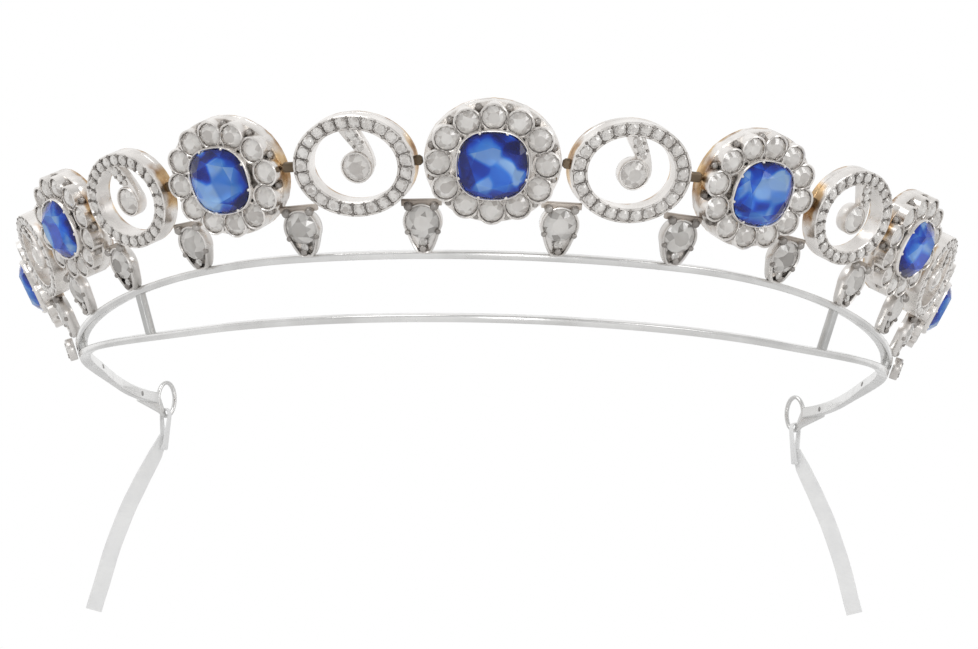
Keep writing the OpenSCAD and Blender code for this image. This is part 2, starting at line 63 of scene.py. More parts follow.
# The axes, of the diadem here and of a jewel's own frame further down
X, Y, Z = np.eye(3)
# The middle of the right eyelet, and which way its plane runs, in mm
eyelet_at = np.array([57.019, 47.388, 3.195])
eyelet_along = np.array([-0.77385, 0.63337, 0.0])
eyelet_w, eyelet_h, eyelet_wire, eyelet_t = 4.2, 6.8, 0.7, 0.9
ribbon_w, ribbon_t = 2.9, 0.34
# The fold: its length, the radii of its two ends, and how wide its strand is there
fold_length, wire_end, tie_end = 6.0, 1.28, 0.2
strand_at_wire, strand_at_tie = 0.8, 1.3
# The hanging length: how far it is turned at its top, in degrees, how much it waves,
# and the share of its width that it has there
first_turn, wave, gathered = 50.0, 0.05, 0.62
rings = 61
ribbon_route = np.array([
    [0.3, 0, 2.4], [0.7, 0, 1.2], [1.2, -0.1, -0.2], [1.9, -0.2, -1.8], [2.7, -0.3, -3.5],
    [3.6, -0.4, -5.4], [4.5, -0.6, -7.5], [5.5, -0.8, -9.8], [6.4, -1, -12.2],
    [7.2, -1.2, -14.6], [8, -1.4, -17.1], [8.7, -1.5, -19.6], [9.3, -1.6, -22.1],
    [9.9, -1.7, -24.6], [10.5, -1.8, -26.9], [11.1, -1.8, -29.3]])
route_points = {"left": 16, "right": 15}


def unit(v):
    """Each vector divided by its own length."""
    return v / np.linalg.norm(v, axis=-1, keepdims=True)


def rounded(width, height, power=4.0, count=16):
    """A closed outline: cosine and sine of each angle, both raised to 2/power
    with their signs kept, times half the width and half the height."""
    a = np.arange(count) * 2 * np.pi / count
    c, s = np.cos(a), np.sin(a)
    return np.stack([width / 2 * np.sign(c) * np.abs(c) ** (2 / power),
                     height / 2 * np.sign(s) * np.abs(s) ** (2 / power)], axis=-1)


def quads(rows, cols, closed=False):
    """Faces of a grid whose rows are closed rings; closed joins the last row to
    the first, and otherwise the two end rings are filled."""
    i = np.arange(rows if closed else rows - 1)[:, None]
    j = np.arange(cols)[None, :]
    low, high, k = i * cols, (i + 1) % rows * cols, (j + 1) % cols
    faces = np.stack([low + j, low + k, high + k, high + j], axis=-1).reshape(-1, 4).tolist()
    if not closed:
        faces += [list(range(cols))[::-1], list(range((rows - 1) * cols, rows * cols))]
    return faces


def carried(path, side, lift, profile, closed=False):
    """A profile carried along a path: the path's point plus the profile's first
    number times side plus its second times lift."""
    profile = np.broadcast_to(profile, (len(path),) + profile.shape[-2:])
    side, lift = np.broadcast_to(side, path.shape), np.broadcast_to(lift, path.shape)
    points = path[:, None] + profile[..., :1] * side[:, None] + profile[..., 1:] * lift[:, None]
    return points.reshape(-1, 3), quads(len(path), profile.shape[-2], closed)


def through(points, count):
    """A smooth line through the points: between two of them the cubic whose
    slopes at both are half the step from the point before to the point after."""
    u = np.linspace(0, len(points) - 1, count)
    i = np.minimum(u.astype(int), len(points) - 2)
    t = (u - i)[:, None]
    last = len(points) - 1
    a, b, c, d = (points[np.clip(i + k, 0, last)] for k in (-1, 0, 1, 2))
    return b + t / 2 * (c - a + t * (2 * a - 5 * b + 4 * c - d + t * (3 * (b - c) + d - a)))


MM = 0.001


def made(name, parts, material, crisp=0.6):
    """One object in metres from closed parts in mm, with faces turned outward
    and edges sharper than crisp radians kept sharp."""
    mesh = bpy.data.meshes.new(name)
    starts = np.cumsum([0] + [len(points) for points, _ in parts]).tolist()
    faces = [[n + first for n in face]
             for first, (_, own_faces) in zip(starts, parts) for face in own_faces]
    mesh.from_pydata((np.concatenate([points for points, _ in parts]) * MM).tolist(), [], faces)
    shell = bmesh.new()
    shell.from_mesh(mesh)
    bmesh.ops.recalc_face_normals(shell, faces=shell.faces)
    shell.to_mesh(mesh)
    shell.free()
    mesh.shade_smooth()
    mesh.set_sharp_from_angle(angle=crisp)
    mesh.materials.append(material)
    piece = bpy.data.objects.new(name, mesh)
    bpy.context.collection.objects.link(piece)
    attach(piece, "root")
    return piece


def new_material(name, **values):
    """A material with one shader, whose plain numbers are set on its sockets."""
    material = bpy.data.materials.new(name)
    material.use_nodes = True
    nodes, links = material.node_tree.nodes, material.node_tree.links
    shader = nodes["Principled BSDF"]
    for key, value in values.items():
        shader.inputs[key.replace("_", " ")].default_value = value
    return material, nodes, links, shader


def by_place(nodes, links, texture):
    """Lays a texture by the place on the piece."""
    where = nodes.new("ShaderNodeTexCoord")
    links.new(where.outputs["Object"], texture.inputs["Vector"])


def toned(nodes, links, value, *stops):
    """A value turned into a tone, even between stops of a value and its tone."""
    ramp = nodes.new("ShaderNodeValToRGB")
    ends = ramp.color_ramp.elements
    for end, (at, tone) in ((ends[0], stops[0]), (ends[1], stops[-1])):
        end.position, end.color = at, (*np.broadcast_to(tone, 3), 1)
    for at, tone in stops[1:-1]:
        ends.new(at).color = (*tone, 1)
    links.new(value, ramp.inputs["Fac"])
    return ramp.outputs["Color"]


def noise(nodes, links, scale, low, high, detail=3.0):
    """Soft cloudy change between two tones or two numbers."""
    cloud = nodes.new("ShaderNodeTexNoise")
    cloud.inputs["Scale"].default_value = scale
    cloud.inputs["Detail"].default_value = detail
    by_place(nodes, links, cloud)
    return toned(nodes, links, cloud.outputs["Fac"], (0.36, low), (0.64, high))


def bumped(nodes, links, shader, height, strength, depth):
    """Low relief from a height between 0 and 1, depth in metres."""
    bump = nodes.new("ShaderNodeBump")
    bump.inputs["Strength"].default_value = strength
    bump.inputs["Distance"].default_value = depth
    links.new(height, bump.inputs["Height"])
    links.new(bump.outputs["Normal"], shader.inputs["Normal"])


satin, nodes, links, shader = new_material("satin ribbon", Roughness=0.6, Sheen_Weight=0.2,
                                           Sheen_Roughness=0.4)
links.new(noise(nodes, links, 260, (0.77, 0.77, 0.77), (0.82, 0.82, 0.815)),
          shader.inputs["Base Color"])
weave = nodes.new("ShaderNodeTexWave")
weave.bands_direction = "Z"
weave.inputs["Scale"].default_value = 900
weave.inputs["Distortion"].default_value = 1.5
by_place(nodes, links, weave)
bumped(nodes, links, shader, weave.outputs["Fac"], 0.15, 0.00003)

for name, side in SIDES.items():
    flip = np.array([side, 1, 1])
    along = eyelet_along * flip
    across = np.cross(along, Z)
    start = eyelet_at * flip - (eyelet_h - eyelet_wire) / 2 * Z
    # The fold round the wire: a big arc over it, and two straight strands that meet
    drop = fold_length - tie_end
    lean = np.arcsin((wire_end - tie_end) / drop)
    over = np.linspace(-lean, np.pi + lean, 22)
    under = np.linspace(np.pi + lean, 2 * np.pi - lean, 7)[1:-1]
    flat = np.concatenate([np.stack([wire_end * np.cos(over), wire_end * np.sin(over)], -1),
                           np.stack([tie_end * np.cos(under), tie_end * np.sin(under) - drop], -1)])
    loop = start + flat[:, :1] * across + flat[:, 1:] * Z
    tangent = unit(np.roll(loop, -1, 0) - np.roll(loop, 1, 0))
    strand_w = np.interp(-flat[:, 1] / drop, [0, 1], [strand_at_wire, strand_at_tie])
    widths = np.stack([strand_w, np.ones(len(strand_w))], -1)[:, None]
    parts = [carried(loop, along, np.cross(tangent, along), rounded(1, ribbon_t, 3) * widths,
                     closed=True)]
    # The hanging length, turned from the loop's plane to face forwards as it falls;
    # the right one is cut a little shorter
    route = start + (ribbon_route[:route_points[name]] - fold_length * Z) * flip
    line = through(route, rings)
    way = unit(np.gradient(line, axis=0))
    share = np.linspace(0, 1, rings)
    turned = np.radians(first_turn) * (1 - share) ** 2 + wave * np.sin(9 * share)
    facing_side = np.stack([np.cos(turned), -side * np.sin(turned), 0 * turned], -1)
    facing_side = unit(facing_side - np.sum(facing_side * way, -1, keepdims=True) * way)
    normal = np.cross(way, facing_side)
    selvedge = rounded(ribbon_w, ribbon_t, 5, 24)
    selvedge[:, 1] *= 0.75 + 0.35 * (np.abs(selvedge[:, 0]) / (ribbon_w / 2)) ** 6
    narrow = np.interp(6 * share, [0, 1], [gathered, 1])
    band = selvedge[None] * np.stack([narrow, np.ones(rings)], -1)[:, None]
    parts.append(carried(line, facing_side, normal, band))
    tie = made("ribbon_tie_" + name, parts, satin)
    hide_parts("ribbon_" + name)
    path = np.concatenate([[start], line]) * MM

# Band
# Two rails of polished white metal follow the head, held apart by struts. They run
# together at the sides and carry on as thin arms with an eyelet soldered to each.
half_w, half_d = 63.0, 70.0
rail_spacing, band_lean = 8.6, np.radians(20)
rail_h, rail_t = 1.1, 1.8
fall_start, rise_start, close_end, close_height = 24.0, 40.0, 93.0, 3.4
arm_length, arm_h, arm_t, arm_turn, web = 43.0, 2.0, 1.1, 28.0, 6.0
web_share = 0.46
# In degrees: how far short of the closed end the rails stop, and how much is filled
rail_stop, joined = 1.5, 9.0
# Where the struts stand, in degrees from the front
strut_w, strut_t, strut_places = 1.35, 1.2, (50.0, 78.0)
# The pins are set by the arm's steps
arm_steps, pin_d, pin_proud, pin_places = 42, 0.9, 0.1, (4, 35)


def oval(t):
    """Plan point of the band at t degrees from the front: half width times sine,
    and minus half depth times cosine."""
    t = np.radians(t)
    return np.stack([half_w * np.sin(t), -half_d * np.cos(t), 0 * t], -1)


def facing(t):
    """The way the band faces at t degrees, level and square to the oval."""
    t = np.radians(t)
    return unit(np.stack([half_d * np.sin(t), -half_w * np.cos(t), 0 * t], -1))


def eased(x):
    """0 to 1 with flat ends: 3 times the square less twice the cube."""
    x = np.clip(x, 0, 1)
    return x * x * (3 - 2 * x)


def rail_v(t, upper):
    """Height up the band of a rail, which closes on the other at the sides."""
    start = fall_start if upper else rise_start
    closing = eased((np.abs(t) - start) / (close_end - start))
    half = (arm_h - rail_h) / 2
    return rail_spacing * upper + (close_height + half - rail_spacing if upper
                                   else close_height - half) * closing


def band_axes(t):
    """Up the leaning band, and out of it, at t degrees."""
    d = facing(t)
    return (d * np.sin(band_lean) + Z * np.cos(band_lean),
            d * np.cos(band_lean) - Z * np.sin(band_lean))


def white_metal(name, low, high, rough_low, rough_high):
    """Polished white metal: cloudy change of tone and gloss, and faint wear."""
    material, nodes, links, shader = new_material(name, Metallic=1.0)
    links.new(noise(nodes, links, 120, low, high), shader.inputs["Base Color"])
    links.new(noise(nodes, links, 420, rough_low, rough_high), shader.inputs["Roughness"])
    bumped(nodes, links, shader, noise(nodes, links, 900, 0, 1, 5), 0.12, 0.00004)
    return material


rail_metal = white_metal("rail metal", (0.68, 0.675, 0.665), (0.82, 0.815, 0.805), 0.18, 0.3)
# The struts get a darker copy of the rails' metal: painted shade for the recess between the rails
strut_metal_painted_shade = white_metal("strut metal in painted shade", (0.5, 0.5, 0.49), (0.66, 0.66, 0.65), 0.3, 0.45)
pin_metal = white_metal("pin metal", (0.28, 0.27, 0.26), (0.42, 0.41, 0.4), 0.35, 0.5)
parts, pins, posts = [], [], []
sweep = np.linspace(rail_stop - close_end, close_end - rail_stop, 221)
for upper in (0, 1):
    v = rail_v(sweep, upper)[:, None]
    lift, out = band_axes(sweep)
    parts.append(carried(oval(sweep) + v * lift, out, lift, rounded(rail_t, rail_h, 5, 20)))
for side in SIDES.values():
    for t in strut_places:
        lift, out = (a[None] for a in band_axes(np.array(side * t)))
        v = np.linspace(rail_v(t, 0), rail_v(t, 1), 6)[:, None]
        level = np.cross(lift, out)
        posts.append(carried(oval(side * t) + v * lift, level, out, rounded(strut_w, strut_t, 5)))
    # The rails' joined end, filled from the lower one's foot to the upper one's top
    t = np.linspace(close_end - joined, close_end, 10)
    lift, out = band_axes(side * t)
    low, high = rail_v(t, 0) - rail_h / 2, rail_v(t, 1) + rail_h / 2
    middle = oval(side * t) + ((low + high) / 2)[:, None] * lift
    size = np.stack([np.full(len(t), rail_t), high - low], -1)
    # The arm's heading turns inwards as the fifth power of the way along it
    u = (np.arange(arm_steps) + 0.5) / arm_steps
    first = facing(close_end)
    heading = np.arctan2(first[0], -first[1]) + np.radians(arm_turn) * u ** 5
    step = np.stack([np.cos(heading), np.sin(heading), 0 * heading], -1) * arm_length / arm_steps
    walk = oval(close_end) + first * close_height * np.sin(band_lean) + np.cumsum(step, 0)
    walk[:, 2] = close_height * np.cos(band_lean)
    walk = walk * [side, 1, 1]
    face = np.stack([np.sin(heading) * side, -np.cos(heading), 0 * heading], -1)
    leaning = (band_lean * (1 - u))[:, None]
    upright = face * np.sin(leaning) + Z * np.cos(leaning)
    outward = face * np.cos(leaning) - Z * np.sin(leaning)
    thick = rail_t + (arm_t - rail_t) * eased(2 * u)
    size = np.concatenate([size, np.stack([thick, np.full(arm_steps, arm_h)], -1)])
    parts.append(carried(np.concatenate([middle, walk]), np.concatenate([out, outward]),
                         np.concatenate([lift, upright]),
                         rounded(1, 1, 6, 20)[None] * size[:, None]))
    # The eyelet is an oval of wire, with a small web down to it from the arm
    along, at = eyelet_along * [side, 1, 1], eyelet_at * [side, 1, 1]
    across = np.cross(along, Z)
    ring = rounded(eyelet_w - eyelet_wire, eyelet_h - eyelet_wire, 2, 40)
    path = at + ring[:, :1] * along + ring[:, 1:] * Z
    tangent = unit(np.roll(path, -1, 0) - np.roll(path, 1, 0))
    parts.append(carried(path, np.cross(tangent, across), across,
                         rounded(eyelet_wire, eyelet_t, 2.4, 12), closed=True))
    web_h = arm_h * web_share
    wire_side, wire_foot = (eyelet_wire - eyelet_w) / 2, (eyelet_wire - eyelet_h) / 2
    x = np.linspace(-web, -0.02, 14)
    top = np.interp(x, [-web, wire_side, 0], [web_h, web_h, wire_foot])
    foot = np.interp(x, [-web, 0], [-web_h, wire_foot - 0.1])
    size = np.stack([np.full(len(x), eyelet_t * 0.96), top - foot], -1)
    parts.append(carried(at + x[:, None] * along + ((top + foot) / 2)[:, None] * Z, across, Z,
                         rounded(1, 1, 6, 12)[None] * size[:, None]))
    # Small pins through the arm, where it was joined to the band and to the eyelet
    for k in pin_places:
        reach = np.array([-1, -0.9, 0.9, 1])[:, None] * (thick[k] / 2 + pin_proud)
        end_size = np.array([0.7, 1.0, 1.0, 0.7])[:, None, None]
        pins.append(carried(walk[k] + reach * outward[k], unit(step[k]) * [side, 1, 1],
                            upright[k], rounded(pin_d, pin_d, 2, 12)[None] * end_size))
band = made("band", parts, rail_metal, crisp=0.8)
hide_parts("frame")
made("struts", posts, strut_metal_painted_shade)
made("arm_pins", pins, pin_metal)

# Clusters
# Seven oval mounts of silver on gold, each with a ring of twelve old cut diamonds
# in cut-down collets with small bead claws, round a raised collet for a sapphire.
jewel_lean, jewel_out, jewel_rise, line_fall = np.radians(28), 2.5, 13.3, 6.0
link_gap, link_shift = 1.7, 0.6
cluster_w, cluster_h, surround_d, surround_count = 18.2, 16.5, 3.1, 12
sapphire_w, sapphire_h, sapphire_lift, sapphire_power = 9.2, 8.9, 1.0, 2.5
sapphire_table, sapphire_crown, sapphire_pavilion = 0.62, 1.3, 3.1
sapphire_claws, claw_d, claw_out, claw_up = 8, 0.45, 0.35, 1.08
# The two rows of dark beads between the collets, which carry painted shade for the gaps there,
# larger ones outside and small ones inside: how far out from the middles of the stones and how far
# forward, and their width
bead_rows = [(1.25, -0.75, 1.0), (-1.1, 0.25, 0.6)]
shade_bar_l, shade_bar_t, shade_bar_up = 2.1, 0.2, 0.36
scroll_w, scroll_h = 16.8, 13.9
wall, clear, mount_back = 0.3, 0.08, 2.9
# How far behind the girdle a mount turns all gold, and how far out from its middle,
# as a share of its width, its walls do: the centre one's never
gold_deep, gold_out, gold_out_centre = 2.5, 0.44, 0.6
KINDS = ["cluster", "scroll", "cluster", "scroll", "cluster", "scroll", "cluster"]
SHARES = [1, 1, 1, 1, 0.97, 0.96, 0.92]
unit_w = [g * (cluster_w if k == "cluster" else scroll_w) for k, g in zip(KINDS, SHARES)]
unit_h = [g * (cluster_h if k == "cluster" else scroll_h) for k, g in zip(KINDS, SHARES)]


def line_v(t):
    """Height up the band of the jewels' line, falling with the square of the angle."""
    return rail_spacing + jewel_rise - line_fall * (t / 90) ** 2


def jewel_spot(t):
    """Point of the jewels' line: it stands above the upper rail on a surface that
    leans further out than the band."""
    r = (rail_spacing * np.sin(band_lean) + (line_v(t) - rail_spacing) * np.sin(jewel_lean)
         + jewel_out * np.cos(jewel_lean))
    z = (rail_spacing * np.cos(band_lean) + (line_v(t) - rail_spacing) * np.cos(jewel_lean)
         - jewel_out * np.sin(jewel_lean))
    return oval(t) + facing(t) * np.expand_dims(r, -1) + Z * np.expand_dims(z, -1)


def way_along(points):
    """The distance run along a line of points, at each of them."""
    return np.concatenate([[0], np.cumsum(np.linalg.norm(np.diff(points, axis=0), axis=1))])


# The line is measured every 2 degrees, to find the place at a length along it
turns = np.arange(0, 114, 2.0)
lengths = way_along(jewel_spot(turns))


def jewel_frame(side, s, below=0.0, inward=0.0):
    """Origin, along, up and out of a jewel s mm along the line: along is level and
    square to the way the band faces, turned down by the line's fall."""
    t, after = np.interp(s, lengths, turns), np.interp(s + 1, lengths, turns)
    d = facing(side * t)
    level = np.array([-d[1], d[0], 0])
    lift = d * np.sin(jewel_lean) + Z * np.cos(jewel_lean)
    out = d * np.cos(jewel_lean) - Z * np.sin(jewel_lean)
    fall = side * np.arctan(line_v(t) - line_v(after))
    along = level * np.cos(fall) - lift * np.sin(fall)
    up = level * np.sin(fall) + lift * np.cos(fall)
    spot = jewel_spot(t) * [side, 1, 1]
    return spot - up * below - out * inward, np.stack([along, up, out])


unit_s = [0.0]
for i in range(6):
    unit_s.append(unit_s[-1] + unit_w[i] / 2 + link_gap + unit_w[i + 1] / 2)
unit_s[1] -= link_shift


def put(place, part):
    """A part in a jewel's own frame, moved to its place on the diadem."""
    return place[0] + part[0] @ place[1], part[1]


def ringed(outline, profile, closed=True):
    """A profile of (outward, forward) steps carried round a flat closed outline,
    each step taken along the outline's own outward normal."""
    tangent = unit(np.roll(outline, -1, 0) - np.roll(outline, 1, 0))
    normal = np.stack([tangent[:, 1], -tangent[:, 0]], -1)
    profile = np.asarray(profile, float)
    flat = outline[None] + profile[:, None, :1] * normal[None]
    height = np.broadcast_to(profile[:, None, 1:], flat.shape[:2] + (1,))
    points = np.concatenate([flat, height], -1).reshape(-1, 3)
    return points, quads(len(profile), len(outline), closed)


def repeated(part, centres, sizes, turns):
    """Copies of a part of size 1: turned about its own axis, enlarged, and moved."""
    c, s, zero, one = np.cos(turns), np.sin(turns), 0 * turns, 0 * turns + 1
    spin = np.stack([np.stack([c, s, zero], -1), np.stack([-s, c, zero], -1),
                     np.stack([zero, zero, one], -1)], -2)
    points, faces = part
    copies = np.einsum("vi,kij->kvj", points, spin) * np.asarray(sizes)[:, None, None]
    firsts = range(0, len(centres) * len(points), len(points))
    return ((copies + centres[:, None]).reshape(-1, 3),
            [[n + first for n in face] for first in firsts for face in faces])


def spread(count, width, height, phase=0.0):
    """Points evenly along an oval from its top, with height 0, and their angles."""
    a = np.pi / 2 + 2 * np.pi * (np.arange(count) + phase) / count
    a = a + (width ** 2 - height ** 2) / (width ** 2 + height ** 2) * np.sin(2 * a) / 4
    spots = np.stack([width / 2 * np.cos(a), height / 2 * np.sin(a), 0 * a], -1)
    return spots, np.arctan2(spots[:, 1] * (width / height) ** 2, spots[:, 0])


def bead(count=10):
    """A low dome of radius 0.5: rings whose radius is the cosine and height the
    sine of an angle that rises from just under the base to the top."""
    a = np.radians([-25, 0, 25, 50, 72])
    ring = rounded(1, 1, 2, count)
    points = np.concatenate([ring[None] * np.cos(a)[:, None, None],
                             np.broadcast_to(np.sin(a)[:, None, None] / 2, (5, count, 1))], -1)
    return points.reshape(-1, 3), quads(5, count)


def shade_bar(length, thickness):
    """A thin dark bar laid where two collets meet, as painted shade for the crevice between them: a
    bead drawn out to a bar.
    """
    points, faces = bead(8)
    return points * [length, thickness, 0.25], faces


def cut_stone(width, height, table, crown, pavilion, power=2.0):
    """An old cut stone with an outline of width by height: an octagon table, eight
    stars, eight kites and sixteen halves above the girdle, and eight long and
    sixteen short facets below it, down to a small flat culet."""
    def ring(count, offset, share, z):
        a = (np.arange(count) + offset) * 2 * np.pi / count
        c, s = np.cos(a), np.sin(a)
        return np.stack([width / 2 * np.sign(c) * np.abs(c) ** (2 / power) * share,
                         height / 2 * np.sign(s) * np.abs(s) ** (2 / power) * share, 0 * a + z], -1)
    points = np.concatenate([ring(8, 0, table, crown), ring(8, 0.5, (1 + table) / 2, crown * 0.55),
                             ring(16, 0, 1, 0.02), ring(16, 0, 1, -0.02),
                             ring(8, 0.5, 0.5, -pavilion * 0.62), ring(8, 0, 0.1, -pavilion)])
    k = np.arange(8)
    n, e, o = (k + 1) % 8, 2 * k, 2 * k + 1
    p = (2 * k + 2) % 16
    faces = [list(range(8)), list(range(63, 55, -1))]
    faces += np.stack([k, 8 + k, n], -1).tolist()
    faces += np.stack([n, 8 + k, 16 + p, 8 + n], -1).tolist()
    faces += np.stack([8 + k, 16 + e, 16 + o], -1).tolist()
    faces += np.stack([8 + k, 16 + o, 16 + p], -1).tolist()
    g = np.arange(16)
    faces += np.stack([16 + g, 32 + g, 32 + (g + 1) % 16, 16 + (g + 1) % 16], -1).tolist()
    faces += np.stack([48 + k, 32 + o, 32 + e], -1).tolist()
    faces += np.stack([48 + k, 32 + p, 32 + o], -1).tolist()
    faces += np.stack([56 + n, 48 + n, 32 + p, 48 + k], -1).tolist()
    faces += np.stack([56 + k, 56 + n, 48 + k], -1).tolist()
    return points, faces


def times_plus(nodes, links, *terms):
    """The first term times the second plus the third, each a socket or a number."""
    sum_node = nodes.new("ShaderNodeMath")
    sum_node.operation = "MULTIPLY_ADD"
    for term, socket in zip(terms, sum_node.inputs):
        if isinstance(term, bpy.types.NodeSocket):
            links.new(term, socket)
        else:
            socket.default_value = term
    return sum_node.outputs[0]


def along_axis(nodes, links, axis, origin, low, high):
    """0 to 1 between low and high mm from an origin along an axis, made uneven by
    half a millimetre of cloudy noise."""
    uneven = 0.5
    where = nodes.new("ShaderNodeTexCoord")
    dot = nodes.new("ShaderNodeVectorMath")
    dot.operation = "DOT_PRODUCT"
    dot.inputs[1].default_value = axis / MM
    links.new(where.outputs["Object"], dot.inputs[0])
    ragged = times_plus(nodes, links, noise(nodes, links, 500, 0, 1), uneven, dot.outputs["Value"])
    share = nodes.new("ShaderNodeMapRange")
    start = float(origin @ axis) + uneven / 2
    share.inputs["From Min"].default_value = start + low
    share.inputs["From Max"].default_value = start + high
    links.new(ragged, share.inputs["Value"])
    return share.outputs["Result"]


def mixed(nodes, links, way, factor, a, b):
    """A colour laid over another by a factor, in one of Blender's ways of mixing."""
    mix = nodes.new("ShaderNodeMix")
    mix.data_type, mix.blend_type = "RGBA", way
    if isinstance(factor, bpy.types.NodeSocket):
        links.new(factor, mix.inputs["Factor"])
    else:
        mix.inputs["Factor"].default_value = factor
    links.new(a, mix.inputs["A"])
    links.new(b, mix.inputs["B"])
    return mix.outputs["Result"]


def setting_metal(name, place, deep, towards, outward):
    """Silver in front and yellow gold behind: all gold from deep mm behind the
    girdle, and on the walls too from outward mm towards the diadem's middle."""
    material, nodes, links, shader = new_material(name, Metallic=1.0)
    origin, inwards = place[0], -place[1][2]
    silver = noise(nodes, links, 300, (0.72, 0.69, 0.66), (0.92, 0.89, 0.86))
    gold = noise(nodes, links, 380, (0.32, 0.17, 0.07), (0.72, 0.52, 0.3))
    behind = along_axis(nodes, links, inwards, origin, deep, deep + 0.4)
    on_wall = times_plus(nodes, links,
                         along_axis(nodes, links, towards, origin, outward, outward + 0.9),
                         along_axis(nodes, links, inwards, origin, 0.1, 0.6), 0.0)
    colour = mixed(nodes, links, "MIX", on_wall, silver, gold)
    links.new(mixed(nodes, links, "MIX", behind, colour, gold), shader.inputs["Base Color"])
    links.new(noise(nodes, links, 600, 0.2, 0.38), shader.inputs["Roughness"])
    bumped(nodes, links, shader, noise(nodes, links, 1200, 0, 1, 5), 0.2, 0.00006)
    return material


def own_value(nodes, name):
    """A value that the mesh itself carries."""
    value = nodes.new("ShaderNodeAttribute")
    value.attribute_name = name
    return value.outputs["Fac"]


rng = np.random.default_rng(7)


def faceted(piece, star_share=0.5):
    """Each facet gets a random number of its own, which the stone materials turn into painted
    reflections, lighter or darker by facet, and each point a share: 1 on the table, less on its way
    to the girdle, which the sapphire turns into painted light, paler at the table and shaded at the
    girdle."""
    mesh = piece.data
    tone = mesh.attributes.new("painted_facet_glint", "FLOAT", "FACE")
    tone.data.foreach_set("value", rng.uniform(0, 1, len(mesh.polygons)))
    middle = mesh.attributes.new("middle", "FLOAT", "POINT")
    share = np.repeat([1.0, star_share, 0.0, 0.0, 0.3, 0.6], [8, 8, 16, 16, 8, 8])
    middle.data.foreach_set("value", np.tile(share, len(mesh.vertices) // len(share)))


def old_cut(name, darkest, clear):
    """A diamond with painted reflections, lighter or darker by facet, and a little cloudy: the
    facet's painted glint times the cloud's."""
    material, nodes, links, shader = new_material(name, Roughness=0.02, IOR=2.2,
                                                  Transmission_Weight=clear)
    glint = toned(nodes, links, own_value(nodes, "painted_facet_glint"),
                  (0, darkest), (0.5, (1, 0.985, 0.96)))
    cloudy = noise(nodes, links, 420, (0.86, 0.84, 0.82), (1, 0.99, 0.98))
    links.new(mixed(nodes, links, "MULTIPLY", 1.0, glint, cloudy), shader.inputs["Base Color"])
    return material


diamond = old_cut("diamond", (0.6, 0.565, 0.535), 0.3)
# Claws and beads get a dark copy of the settings' silver: painted shade for the hollows between and
# around the stones
claw_metal_painted_shade = white_metal("claw metal in painted shade", (0.24, 0.22, 0.205), (0.5, 0.475, 0.45), 0.3, 0.5)
# The sapphires' colour: uneven cells of strong and pale blue as real colour zoning, with painted
# light over it: painted shade in deep blue at the girdle, a painted highlight of pale blue towards
# the table, and painted reflections lighter or darker by facet
sapphire_blue, nodes, links, shader = new_material(
    "sapphire", Roughness=0.02, IOR=1.5, Transmission_Weight=0.5)
cells = nodes.new("ShaderNodeTexVoronoi")
cells.feature = "SMOOTH_F1"
cells.inputs["Scale"].default_value = 300
cells.inputs["Smoothness"].default_value = 0.35
by_place(nodes, links, cells)
cell_tone = nodes.new("ShaderNodeSeparateColor")
links.new(cells.outputs["Color"], cell_tone.inputs[0])
# The depth mixes the zoning cells with painted light: the facet's painted glint and the point's
# share, which is highest on the table
depth = times_plus(nodes, links, own_value(nodes, "painted_facet_glint"), 0.3, cell_tone.outputs[0])
depth = times_plus(nodes, links, own_value(nodes, "middle"), 0.45, depth)
depth = times_plus(nodes, links, depth, 1.1, -0.48)
zoning_and_painted_light = toned(nodes, links, depth, (0, (0.001, 0.004, 0.1)), (0.25, (0.002, 0.018, 0.3)),
              (0.5, (0.006, 0.09, 0.7)), (0.72, (0.06, 0.3, 0.92)), (1, (0.4, 0.66, 1)))
links.new(zoning_and_painted_light, shader.inputs["Base Color"])
# Profiles in mm, outward and forward: the outer wall's lines and the sapphire's
# collet. The small collet's are shares of its stone's width
wall_lines = [(-0.3, -mount_back), (-0.05, -mount_back), (0.03, -2.8), (0.03, -2.45),
              (-0.04, -2.35), (-0.04, -2.2), (0.03, -2.1), (0.03, -1.1), (-0.05, -0.97),
              (-0.3, -0.99)]
raised_collet = [(0.05, 0.3), (0.36, 0.3), (0.36, 0.95), (0.28, 1.1), (0.16, 1.14), (0.05, 1.02)]
small_collet = [(0.02, -0.02), (0.08, 0), (0.08, 0.11), (0.045, 0.135), (0.015, 0.1)]
brilliant = cut_stone(1, 1, 0.5, 0.19, 0.4)

